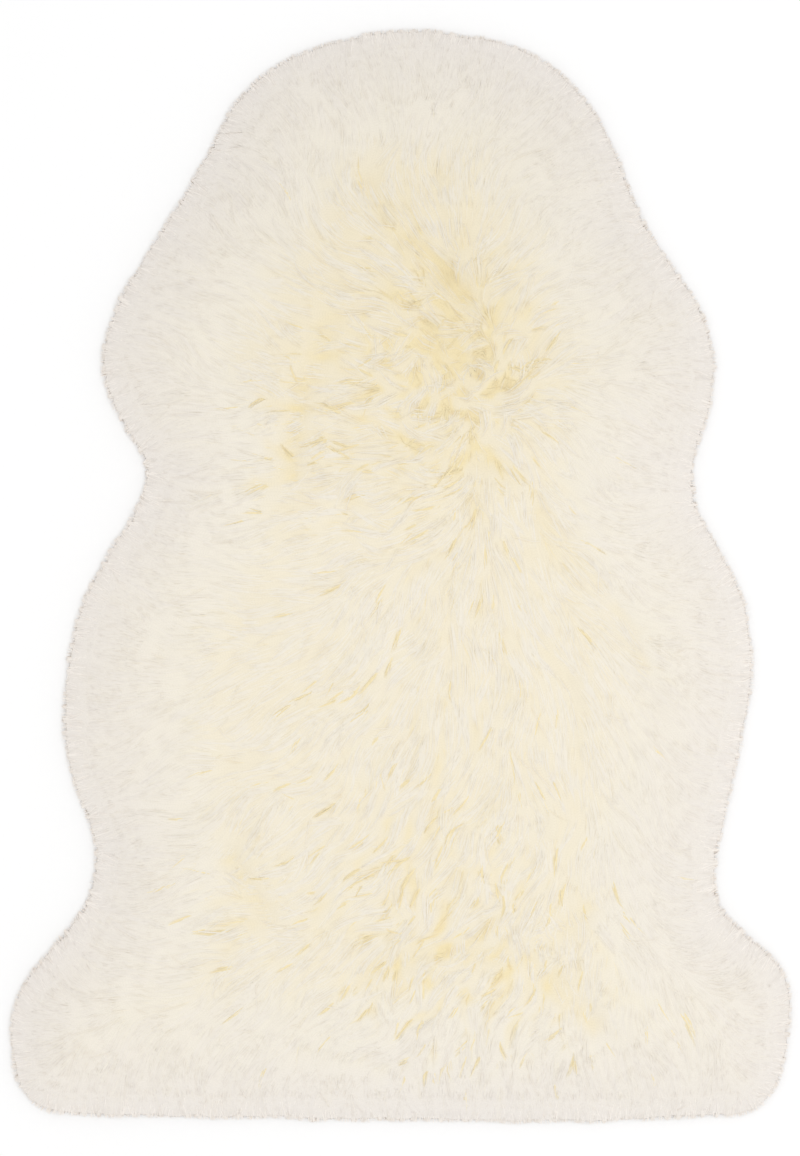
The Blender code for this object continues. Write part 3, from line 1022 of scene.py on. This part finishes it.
@dataclass
class Fleece:
    """The wool: a body of shingled locks, combed strands over it and a fringe all round."""

    pelt: Pelt
    strand: Strand
    fringe_strand: Strand
    finish: WoolFinish
    jitter: float = 0.36  # how far places leave their even grid, as a share of its pitch
    lock_pitch: float = 0.0165
    lock_margin: float = 0.007  # how far in from the edge the outermost locks start
    lock_length: Span = (0.040, 0.058)
    lock_half_width: Span = (0.006, 0.011)
    lock_shares: tuple[float, ...] = (0.0, 0.25, 0.6, 0.85, 1.0)  # how far along its widths are
    lock_widths: tuple[float, ...] = (0.8, 1.0, 0.8, 0.6, 0.4)  # the share of full width there
    lock_grid: tuple[int, int] = (48, 13)  # how many heights are taken along and across a lock
    lock_lift: float = 0.0006  # how far a lock's tip lies over the wool beyond it
    lift_share: float = 0.8  # how far along it that is reached
    lift_power: float = 1.5
    lift_fall: float = 0.35  # how much less its sides are lifted
    lock_crown: float = 0.0006  # how far its middle stands over its sides
    crown_power: float = 0.7  # below 1, most so near its root
    crest: Span = (0.6, 1.4)  # how strongly locks are raised
    calm_crest: float = 0.3  # the share of that where the wool is smooth
    ruffled_crest: float = 1.9  # how much is added where it is ruffled
    edge_crest: float = 0.1  # the share of it at the edge
    calm_edge: float = 0.030  # how far in from the edge the locks reach their full relief
    lock_roundness: float = 1.2  # how round a lock's shading is, as a share of its shape's
    soft_slope: float = 0.6  # the steepest slope that the wool's shading shows
    full_slope: float = 1.0  # the steepest that its strands lie on
    lock_strands: int = 16
    lock_warmth: float = 0.03  # how unlike each other locks are in warmth
    side_warmth: float = 0.50  # how much warmer a lock's sides are than its middle, where it is ruffled: partly yellower roots, partly painted warm shade of the gaps beside them
    calm_side: float = 0.15  # the share of that where it is smooth
    side_start: float = 0.5  # how far from its middle its sides start
    fewest: float = 0.4  # the least share of the locks that stays where the combing closes up
    spread_share: float = 0.8  # how far more locks make up for combing that spreads
    ruffle_shortens: float = 0.25
    strand_width: Span = (0.0009, 0.0015)
    strand_share: Span = (0.85, 1.08)  # how long a strand is, as a share of its lock
    strand_turn: float = 0.015  # how far a lock's strands differ in turn, phase, reach, roll and warmth
    strand_phase: float = 0.35
    strand_reach: float = 0.0008
    strand_roll: float = 0.15
    strand_warmth: float = 0.02
    lock_variety: float = 0.6  # how much of a strand's shade is its lock's
    gather: float = 0.6  # how far a lock's strands close up by its tip
    stagger: float = 0.18  # how unevenly a lock's strands start, as a share of its length
    stray_share: float = 0.03  # how many strands leave their lock
    stray_turn: float = 0.2
    stray_bend: float = 0.4
    stray_rise: float = 0.0005
    wisp_pitch: float = 0.008
    wisp_share: float = 0.3  # how many places have a wisp where the wool is ruffled
    wisp_length: Span = (0.020, 0.036)
    wisp_half_width: Span = (0.0008, 0.0018)
    wisp_strands: int = 5
    # how much warmer the wisps are: partly yellower roots seen deep between locks, partly painted warm
    # shade of those gaps
    wisp_warmth: float = 0.6
    turn: float = math.radians(4)
    bend: float = math.radians(9)
    ruffle_turn: float = math.radians(14)
    ruffle_bend: float = math.radians(26)
    wave: float = math.radians(5)
    wave_share: Span = (0.3, 1.0)
    wave_length: float = 0.028
    sink: float = 0.0012  # how deep in the wool a strand's root lies
    sink_share: float = 0.3  # how far along a strand it has risen out of it
    rise: Span = (0.0, 0.00025)
    rise_power: float = 0.8  # below 1, a strand arches most near its root
    reach: Span = (0.0046, 0.0066)
    shortest: float = 0.010  # the shortest strand that is kept where the edge cuts it
    samples: int = 18  # steps along a strand while it is combed
    touches: int = 4  # the steps between two rings in which a strand is laid against the wool
    most_lift: float = 0.0006  # how far a strand is raised where the wool curves over
    clear: float = 0.0002  # how far a strand may stand over the wool's surface
    floor_gap: float = 0.0009  # how high over the floor the lowest strand lies
    floor_spread: float = 0.0006  # how far strands differ in that
    fringe_over: Rim = Rim(10800, (-0.001, 0.018), (0.012, 0.030), 0.65, 0.0008)
    fringe_under: Rim = Rim(2700, (0.012, 0.036), (0.030, 0.046), 1.4, 0.0014)
    fringe_pitch: float = 0.0015
    fringe_turn: float = 0.07
    fringe_bend: float = 0.14
    fringe_sink: float = 0.3  # how much lower in the wool than its surface some lie
    fringe_reach: Span = (0.0064, 0.0082)
    hide_gap: float = 0.0012  # how high over the hide the roots of those underneath are tucked
    tuck_share: float = 0.5  # how far along they have come down
    tuck_power: float = 1.5
    under_lean: float = 0.5  # how far outwards their crowns lean
    upper_slope: float = 0.3  # how upright the normal of a face that faces up is at least
    body_cuts: int = 4
    body_gap: float = 0.0001  # how far the body lies under the strands
    body_low: float = 0.0016  # the body's lowest point
    body_rim: float = 0.0012  # how thick it is at its edge
    under_relief: float = 0.5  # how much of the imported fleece's underside it keeps
    under_height: float = 0.004  # up to which height
    foot_height: float = 0.001  # how high the foot of the cut rim reaches at most
    lip_nose: float = 0.7  # how far down the band round its rim it reaches furthest out

    def build(self) -> list[bpy.types.Object]:
        """Builds the wool's pieces and dresses them.

        Returns:
            The pieces.
        """
        draw = np.random.default_rng(SEED)
        locks = self.locks(draw)
        self.shingle(locks)
        pieces = [self.body()]
        topcoat = self.finish.material(Layer.TOPCOAT)
        strands = self.strands(locks, self.lock_strands, draw)
        strands = strands.with_more(self.strands(self.wisps(draw), self.wisp_strands, draw))
        order = np.argsort(self.pelt.at(strands.root).across)
        names = ("wool_left_flank", "wool_left_back", "wool_right_back", "wool_right_flank")
        for name, chosen in zip(names, np.array_split(order, len(names))):
            mesh = self.grown(name, [(strands.only(chosen), Side.UPPER)], self.strand)
            pieces.append(as_piece(name, mesh, topcoat))
        rim = [(self.fringe(draw, side), side) for side in Side]
        mesh = self.grown("fringe", rim, self.fringe_strand)
        pieces.append(as_piece("fringe", mesh, self.finish.material(Layer.FRINGE)))
        return pieces

    def scattered(self, draw: Chance, pitch: float) -> Array:
        """Places spread evenly but not regularly over the rug.

        Args:
            draw: The source of chance.
            pitch: About how far apart they are.

        Returns:
            Their x and y.
        """
        low, high = (np.array(corner.xy) for corner in CAD_BOX)
        apart = np.array([pitch, pitch * EQUILATERAL])
        columns, rows = np.ceil((high - low) / apart).astype(int)
        grid = np.stack(np.meshgrid(np.arange(columns), np.arange(rows)), axis=-1).astype(float)
        grid[1::2, :, 0] += 0.5
        places = grid.reshape(-1, 2) * apart + low
        return places + draw.uniform(-self.jitter, self.jitter, places.shape) * pitch

    def locks(self, draw: Chance) -> Tresses:
        """The combed locks over the whole rug, closest where the combing spreads.

        Args:
            draw: The source of chance.

        Returns:
            The locks, each as one wide strand.
        """
        places = np.concatenate([self.scattered(draw, self.lock_pitch) for _ in range(2)])
        said = self.pelt.at(places)
        needed = 1 + self.spread_share * said.spread * self.lock_length[0]
        extra = np.arange(len(places)) >= len(places) // 2
        share = np.where(extra, needed - 1, np.maximum(needed, self.fewest))
        chosen = draw.random(len(places)) < share
        places = places[(said.inside > self.lock_margin) & chosen]
        return self.bundles(places, self.lock_length, self.lock_half_width, draw)

    def wisps(self, draw: Chance) -> Tresses:
        """Narrow wisps of yellower wool between the locks where the wool is ruffled, partly painted warm
        shade.

        Args:
            draw: The source of chance.

        Returns:
            The wisps, each as one wide strand.
        """
        places = self.scattered(draw, self.wisp_pitch)
        said = self.pelt.at(places)
        chosen = draw.random(len(places)) < self.wisp_share * said.ruffled
        places = places[(said.inside > self.calm_edge) & chosen]
        wisps = self.bundles(places, self.wisp_length, self.wisp_half_width, draw)
        # the wisps are yellowed: partly yellower roots, partly painted warm shade of the gaps
        wisps.warmth += self.wisp_warmth
        return wisps

    def bundles(self, places: Array, lengths: Span, half_widths: Span, draw: Chance) -> Tresses:
        """Bundles of strands that are combed as one.

        Args:
            places: Where they start, as x and y.
            lengths: How long the shortest and the longest is.
            half_widths: How far the narrowest and the widest reaches to each side.
            draw: The source of chance.

        Returns:
            The bundles, each as one wide strand.
        """
        said = self.pelt.at(places)
        count, ruffle = len(places), said.ruffle
        calm = np.clip(said.inside / self.calm_edge, self.edge_crest, 1)
        return Tresses(
            root=places,
            length=draw.uniform(*lengths, count) * (1 - self.ruffle_shortens * said.ruffled),
            width=2 * draw.uniform(*half_widths, count),
            turn=draw.normal(0, 1, count) * (self.turn + self.ruffle_turn * ruffle),
            bend=draw.normal(0, 1, count) * (self.bend + self.ruffle_bend * ruffle),
            wave=draw.uniform(*self.wave_share, count) * self.wave,
            phase=draw.uniform(0, math.tau, count),
            crest=draw.uniform(*self.crest, count)
            * (self.calm_crest + self.ruffled_crest * said.ruffled)
            * calm,
            reach=draw.uniform(*self.reach, count),
            warmth=draw.normal(0, self.lock_warmth, count),
            variety=draw.random(count),
        )

    def shingle(self, locks: Tresses) -> None:
        """Raises the pelt's surface by the locks, which overlap from root to tip.

        Args:
            locks: The locks.
        """
        rows, columns = self.lock_grid
        along, across = np.linspace(0, 1, rows), np.linspace(-1, 1, columns)
        line, _ = self.combed(locks, Side.UPPER, along)
        left = leftward(unit(np.gradient(line, axis=1)))
        half = locks.width[:, None] / 2 * np.interp(along, self.lock_shares, self.lock_widths)
        places = line[:, :, None] + left[:, :, None] * (across[:, None] * half[:, :, None, None])
        heights = self.lock_height(along[:, None], across) * locks.crest[:, None, None]
        self.pelt.raise_locks(places, heights)

    def lock_height(self, along: Array, aside: Array) -> Array:
        """How high a lock stands over the wool's bed.

        Args:
            along: The share of the way along it.
            aside: The share of the way from its middle to its side.

        Returns:
            The heights, in metres, for a lock that is raised as most are.
        """
        along = np.clip(along, 0, 1)
        lifted = np.minimum(along / self.lift_share, 1) ** self.lift_power
        lifted = lifted * (1 - self.lift_fall * aside**2)
        crown = (1 - aside**2) * np.sqrt(np.abs(np.sin(np.pi * along**self.crown_power)))
        return self.lock_lift * lifted + self.lock_crown * crown

    def finely_cut(self, face: bmesh.types.BMFace, down: bmesh.types.BMLayerItem) -> bool:
        """Whether a face looks up, or is one of the band round the rim."""
        band = len(face.verts) == 4 and any(vert[down] > 0 for vert in face.verts)
        return band or face.normal.z > self.upper_slope

    def body(self) -> bpy.types.Object:
        """The closed body of wool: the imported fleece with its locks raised, and a lip round its rim.

        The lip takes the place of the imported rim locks, and the fringe gives their form more finely.

        Returns:
            The piece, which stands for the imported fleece.
        """
        bm = merged_copy("fleece")
        layer = self.lip(bm)
        cut = [edge for edge in bm.edges if any(self.finely_cut(face, layer) for face in edge.link_faces)]
        bmesh.ops.subdivide_edges(bm, edges=cut, cuts=self.body_cuts, use_grid_fill=True)
        bmesh.ops.triangulate(bm, faces=[face for face in bm.faces if len(face.verts) > 3])
        bm.normal_update()
        tops = np.array([vert.normal.z > 0 for vert in bm.verts])
        down = np.array([vert[layer] for vert in bm.verts])
        mesh = bpy.data.meshes.new("underwool")
        bm.to_mesh(mesh)
        bm.free()

        places = np.empty(len(mesh.vertices) * 3)
        mesh.vertices.foreach_get("co", places)
        places = places.reshape(-1, 3)
        said = self.pelt.at(places[:, :2])
        drawn = np.minimum(down / self.lip_nose, (1 - down) / (1 - self.lip_nose))
        outwards = (said.inside + self.pelt.spill) * np.clip(drawn, 0, 1)
        places[:, :2] += said.outward * outwards[:, None]
        said = self.pelt.at(places[:, :2])
        lowest = np.minimum(places[:, 2], self.under_height) * self.under_relief + self.body_low
        surface = np.maximum(said.height - self.body_gap, self.body_low + self.body_rim)
        lip = np.where(down <= self.lip_nose, surface, self.body_low)
        places[:, 2] = np.where(down > 0, lip, np.where(tops, surface, lowest))
        mesh.vertices.foreach_set("co", places.astype(np.float32).ravel())

        nothing = np.zeros(len(places))
        values = {"wool": (nothing, said.warmth, nothing), "lie": (*said.lie.T, nothing)}
        for key, parts in values.items():
            made = mesh.attributes.new(key, "FLOAT_VECTOR", "POINT")
            made.data.foreach_set("vector", np.stack(parts, axis=-1).astype(np.float32).ravel())
        mesh.update()
        mesh.shade_smooth()
        piece = as_piece("underwool", mesh, self.finish.material(Layer.UNDERWOOL))
        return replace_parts(piece, "fleece")

    def lip(self, bm: bmesh.types.BMesh) -> bmesh.types.BMLayerItem:
        """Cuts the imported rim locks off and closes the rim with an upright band.

        Args:
            bm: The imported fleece.

        Returns:
            The layer that says how far down the band each vertex lies, 0 off it and 1 at its foot.
        """
        down = bm.verts.layers.float.new("down")  # first, because it unsettles what is gathered before it
        inside = self.pelt.at(np.array([vert.co.xy for vert in bm.verts])).inside
        locks = [vert for vert, way in zip(bm.verts, inside) if way < self.pelt.lock_roots]
        bmesh.ops.delete(bm, geom=locks, context="VERTS")
        bmesh.ops.delete(bm, geom=[edge for edge in bm.edges if edge.is_wire], context="EDGES")
        rims = [edge for edge in bm.edges if edge.is_boundary]
        foot = {vert for edge in rims for vert in edge.verts if vert.co.z < self.foot_height}
        band = bmesh.ops.bridge_loops(bm, edges=rims)
        for vert in foot:
            vert[down] = 1.0
        bmesh.ops.subdivide_edges(bm, edges=band["edges"], cuts=1, use_grid_fill=True)
        bmesh.ops.recalc_face_normals(bm, faces=bm.faces)
        return down

    def strands(self, bundles: Tresses, number: int, draw: Chance) -> Tresses:
        """The strands of some bundles.

        Args:
            bundles: The locks or wisps.
            number: How many strands each has.
            draw: The source of chance.

        Returns:
            Their strands.
        """
        own = bundles.only(np.repeat(np.arange(len(bundles.root)), number))
        total = len(own.root)
        said = self.pelt.at(own.root)
        across = draw.uniform(-1, 1, total)
        lie = turned(said.lie, own.turn)
        left = leftward(lie)
        back = draw.uniform(-1, 1, total) * self.stagger * own.length
        stray = draw.random(total) < self.stray_share
        closing = -across * own.width / 2 * self.gather / own.length
        slope = 2 * (self.lock_crown + self.lift_fall * self.lock_lift) * own.crest / (own.width / 2)
        slope = np.minimum(slope, self.soft_slope)
        to_side = np.clip((np.abs(across) - self.side_start) / (1 - self.side_start), 0, 1)
        to_side = to_side * (self.calm_side + said.ruffled)
        chance = functools.partial(draw.normal, 0, size=total)
        return Tresses(
            root=own.root + left * (across * own.width / 2)[:, None] + lie * back[:, None],
            length=own.length * draw.uniform(*self.strand_share, total),
            width=draw.uniform(*self.strand_width, total),
            turn=own.turn + closing + chance(self.strand_turn) + stray * chance(self.stray_turn),
            bend=own.bend + stray * chance(self.stray_bend),
            wave=own.wave,
            phase=own.phase + chance(self.strand_phase),
            rise=draw.uniform(*self.rise, total) * (1 + said.ruffled) + stray * self.stray_rise,
            aside=across,
            behind=back / own.length,
            crest=own.crest,
            tilt=across * slope * self.lock_roundness,
            reach=own.reach + chance(self.strand_reach),
            roll=chance(self.strand_roll),
            # a lock's sides are warmed: partly yellower roots, partly painted warm shade of the gaps
            warmth=own.warmth + chance(self.strand_warmth) + self.side_warmth * to_side,
            variety=self.lock_variety * own.variety + (1 - self.lock_variety) * draw.random(total),
        )

    def fringe(self, draw: Chance, side: Side) -> Tresses:
        """The strands that hang over the rug's edge, or lie under it.

        Args:
            draw: The source of chance.
            side: Which side of the rug they lie on.

        Returns:
            The strands.
        """
        rim = self.fringe_over if side is Side.UPPER else self.fringe_under
        places = self.scattered(draw, self.fringe_pitch)
        inside = self.pelt.at(places).inside
        near, far = rim.depth
        root = draw.permutation(places[(inside > near) & (inside < far)])[: rim.strands]
        total = len(root)
        return Tresses(
            root=root,
            length=draw.uniform(*rim.length, total),
            width=draw.uniform(*self.strand_width, total) * rim.width,
            turn=draw.normal(0, self.fringe_turn, total),
            bend=draw.normal(0, self.fringe_bend, total),
            wave=draw.uniform(*self.wave_share, total) * self.wave,
            phase=draw.uniform(0, math.tau, total),
            rise=draw.uniform(0.0, rim.rise, total),
            depth=1 - self.fringe_sink * draw.random(total) ** 2,
            reach=draw.uniform(*self.fringe_reach, total),
            roll=draw.normal(0, self.strand_roll, total),
            warmth=draw.normal(0, self.strand_warmth, total),
            variety=draw.random(total),
        )

    def grown(self, name: str, groups: list[tuple[Tresses, Side]], strand: Strand) -> bpy.types.Mesh:
        """One mesh of some groups of strands.

        Args:
            name: The mesh's name.
            groups: The strands, and the side that each group lies on.
            strand: The form that they have.

        Returns:
            The mesh.
        """
        shares = np.array(strand.shares)
        tresses, laid = zip(*(self.laid(some, side, shares) for some, side in groups))
        together = Laid(*(np.concatenate(values) for values in zip(*laid)))
        return strand.repeated(name, together, functools.reduce(Tresses.with_more, tresses))

    def combed(self, tresses: Tresses, side: Side, shares: Array) -> tuple[Array, Array]:
        """Combs strands over the rug and cuts them to its edge.

        Args:
            tresses: The strands.
            side: The side that they lie on.
            shares: How far along them to look.

        Returns:
            Where they lie there, as x and y, and how much of each strand's length is left.
        """
        steps = self.samples
        point = tresses.root
        said = self.pelt.at(point)
        track, inside = [point], [said.inside]
        for share in np.arange(1, steps) / (steps - 1):
            waves = np.sin(tresses.phase + share * tresses.length * math.tau / self.wave_length)
            lie = said.lie if side is Side.UPPER else said.outward
            heading = turned(lie, tresses.turn + tresses.bend * share + tresses.wave * waves)
            point = point + heading * (tresses.length / (steps - 1))[:, None]
            said = self.pelt.at(point)
            track.append(point)
            inside.append(said.inside)
        track, inside = np.stack(track, axis=1), np.stack(inside, axis=1)
        rows = np.arange(len(track))
        over = inside < -tresses.reach[:, None]
        first = np.where(over.any(axis=1), over.argmax(axis=1), steps)
        before = np.clip(first - 1, 0, steps - 2)
        start, fall = inside[rows, before], inside[rows, before] - inside[rows, before + 1]
        part = np.clip((start + tresses.reach) / np.maximum(fall, TINY), 0, 1)
        left = np.where(first < steps, (before + part) / (steps - 1), 1.0)
        at = left[:, None] * shares * (steps - 1)
        low = np.clip(np.floor(at).astype(int), 0, steps - 2)
        part = (at - low)[..., None]
        return track[rows[:, None], low] * (1 - part) + track[rows[:, None], low + 1] * part, left

    def resting(self, tresses: Tresses, said: Said, shares: Array) -> Array:
        """How high strands rest on the wool, so that each straight piece of them just touches it.

        Args:
            tresses: The strands.
            said: What the pelt says at some points along them.
            shares: How far along them those points are, with every touches-th at a ring.

        Returns:
            The heights at the rings.
        """
        crest = self.lock_height(shares + tresses.behind[:, None], tresses.aside[:, None])
        raised = said.bed + crest * tresses.crest[:, None]
        height = np.minimum(raised, said.height + self.clear) * tresses.depth[:, None]
        height += tresses.rise[:, None] * np.sin(np.pi * shares**self.rise_power)
        height -= self.sink * np.clip(1 - shares / self.sink_share, 0, 1)
        ends = height[:, :: self.touches]
        part = np.arange(1, self.touches) / self.touches
        straight = ends[:, :-1, None] * (1 - part) + ends[:, 1:, None] * part
        pieces = (len(height), -1, self.touches)
        between = height[:, :-1].reshape(pieces)[..., 1:]
        there = said.inside[:, :-1].reshape(pieces)[..., 1:] > -self.pelt.spill
        over = np.where(there, straight - between, -np.inf).max(axis=2)
        drop = np.where(there.any(axis=2), np.maximum(over, -self.most_lift), 0.0)
        drop = np.pad(drop, ((0, 0), (0, 1)), mode="edge")
        drop[:, 1:-1] = np.maximum(drop[:, :-2], drop[:, 1:-1])
        return ends - drop

    def laid(self, tresses: Tresses, side: Side, shares: Array) -> tuple[Tresses, Laid]:
        """Lays strands on the rug, and drops those that its edge cuts too short.

        Args:
            tresses: The strands.
            side: The side that they lie on.
            shares: How far along them their rings are.

        Returns:
            The strands that are left, and where they lie.
        """
        rings = np.arange(len(shares))
        closer = np.interp(np.arange(rings[-1] * self.touches + 1) / self.touches, rings, shares)
        flat, left = self.combed(tresses, side, closer)
        said = self.pelt.at(flat)
        resting = self.resting(tresses, said, closer)
        flat = flat[:, :: self.touches]
        said = Said(*(values[:, :: self.touches] for values in said))
        if side is Side.UPPER:
            lowest = self.floor_gap + self.floor_spread * tresses.variety[:, None]
            height = np.maximum(resting, lowest)
            aside = leftward(unit(np.gradient(flat, axis=1)))
            facing = said.facing(0.0, self.full_slope)
            shading = said.facing(aside * tresses.tilt[:, None, None], self.soft_slope)
        else:
            over_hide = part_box("hide")[1].z + self.hide_gap
            lying = self.floor_gap + tresses.rise[:, None]
            tucked = np.clip(1 - shares / self.tuck_share, 0, 1) ** self.tuck_power
            height = lying + (over_hide - lying) * tucked
            downwards = -np.ones_like(said.outward[..., :1])
            facing = unit(np.concatenate([said.outward * self.under_lean, downwards], axis=-1))
            shading = facing
        laid = Laid(np.concatenate([flat, height[..., None]], axis=-1), facing, shading, said.warmth)
        long = left * tresses.length > self.shortest
        return tresses.only(long), laid.only(long)


@dataclass
class Hide:
    """The tanned skin under the wool, its cut edge a little rounded."""

    finish: SuedeFinish
    edge_radius: float = 0.0006
    edge_segments: int = 2
    flat_margin: float = 0.0015  # how wide a band round each flat face keeps its shading
    flat_angle: float = math.radians(1)  # up to which angle faces are joined to flat ones
    level: float = 0.999  # how upright the normal of a flat face is at least
    corners: int = 9  # how many corners such a face has at least

    def build(self, wool: list[bpy.types.Object]) -> bpy.types.Object:
        """Args:
            wool: The pieces that grow out of it. Not used.

        Returns:
            The skin.
        """
        bm = merged_copy("hide")
        bmesh.ops.dissolve_limit(bm, angle_limit=self.flat_angle, verts=bm.verts, edges=bm.edges)
        flats = self.flats(bm)
        area = max(face.calc_area() for face in flats)
        bmesh.ops.bevel(
            bm,
            geom=[edge for edge in bm.edges if any(face in flats for face in edge.link_faces)],
            offset=self.edge_radius,
            segments=self.edge_segments,
            profile=0.5,
            affect="EDGES",
            material=-1,
        )
        for face in self.flats(bm):
            bmesh.ops.inset_region(bm, faces=[face], thickness=self.flat_margin, use_even_offset=True)
        mesh = bpy.data.meshes.new("skin")
        bm.to_mesh(mesh)
        bm.free()
        mesh.shade_smooth()
        skin = as_piece("skin", mesh, self.finish.material())
        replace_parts(skin, "hide")
        return skin

    def flats(self, bm: bmesh.types.BMesh) -> list[bmesh.types.BMFace]:
        """The skin's two large flat faces."""
        level = [face for face in bm.faces if abs(face.normal.z) > self.level]
        return [face for face in level if len(face.verts) >= self.corners]


@dataclass
class Studio:
    """A pale floor, soft light and the camera straight above the rug."""

    floor_side: float = 8.0
    picture_height: float = 1.003  # what the picture takes in at the rug's edge, from top to bottom
    lens: float = 85.0
    sensor: float = 36.0
    edge_height: float = 0.010
    aim: tuple[float, float] = (-0.0005, -0.0017)
    bounces: int = 12  # how often light passes from fibre to fibre
    world_colour: Colour = (1.0, 1.0, 1.0, 1.0)
    world_strength: float = 0.985
    key_energy: float = 4.6
    key_place: tuple[float, float, float] = (0.9, -0.3, 2.0)
    key_size: float = 1.0

    def build(self) -> None:
        """Builds the floor, lights and camera."""
        self.floor()
        self.light()
        self.camera()
        bpy.context.scene.view_settings.view_transform = "Standard"
        bpy.context.scene.cycles.diffuse_bounces = self.bounces

    def floor(self) -> None:
        """Lays the floor at z = 0."""
        bm = bmesh.new()
        bmesh.ops.create_grid(bm, x_segments=1, y_segments=1, size=self.floor_side / 2)
        mesh = bpy.data.meshes.new("floor")
        bm.to_mesh(mesh)
        bm.free()
        mesh.materials.append(FloorFinish().material())
        floor = bpy.data.objects.new("floor", mesh)
        bpy.context.scene.collection.objects.link(floor)

    def light(self) -> None:
        """Hangs one large soft light at the right and fills the room evenly."""
        world = bpy.data.worlds.new("room")
        world.use_nodes = True
        background = world.node_tree.nodes["Background"]
        background.inputs["Color"].default_value = self.world_colour
        background.inputs["Strength"].default_value = self.world_strength
        bpy.context.scene.world = world
        lamp = bpy.data.lights.new("key", "AREA")
        lamp.energy, lamp.size = self.key_energy, self.key_size
        key = bpy.data.objects.new("key", lamp)
        key.location = self.key_place
        key.rotation_euler = (-Vector(self.key_place)).to_track_quat("-Z", "Y").to_euler()
        bpy.context.scene.collection.objects.link(key)

    def camera(self) -> None:
        """Sets the camera straight above the rug, with the neck at the picture's top."""
        view = bpy.data.cameras.new("camera")
        view.lens, view.sensor_width = self.lens, self.sensor
        camera = bpy.data.objects.new("camera", view)
        distance = self.picture_height * self.lens / self.sensor
        camera.location = (*self.aim, self.edge_height + distance)
        bpy.context.scene.collection.objects.link(camera)
        bpy.context.scene.camera = camera


def main() -> None:
    """Builds the wool, the hide and the studio round them, and reports each piece."""
    logging.basicConfig(level=logging.INFO, format="%(message)s")
    blunt = Strand(shares=(0.0, 0.42, 0.86, 1.0), widths=(0.7, 1.0, 0.8, 0.0))
    wool = Fleece(Pelt(), Strand(), blunt, WoolFinish()).build()
    skin = Hide(SuedeFinish()).build(wool)
    Studio().build()
    for piece in (*wool, skin):
        LOG.info("%s: %d faces", piece.name, len(piece.data.polygons))


if __name__ == "__main__":
    main()
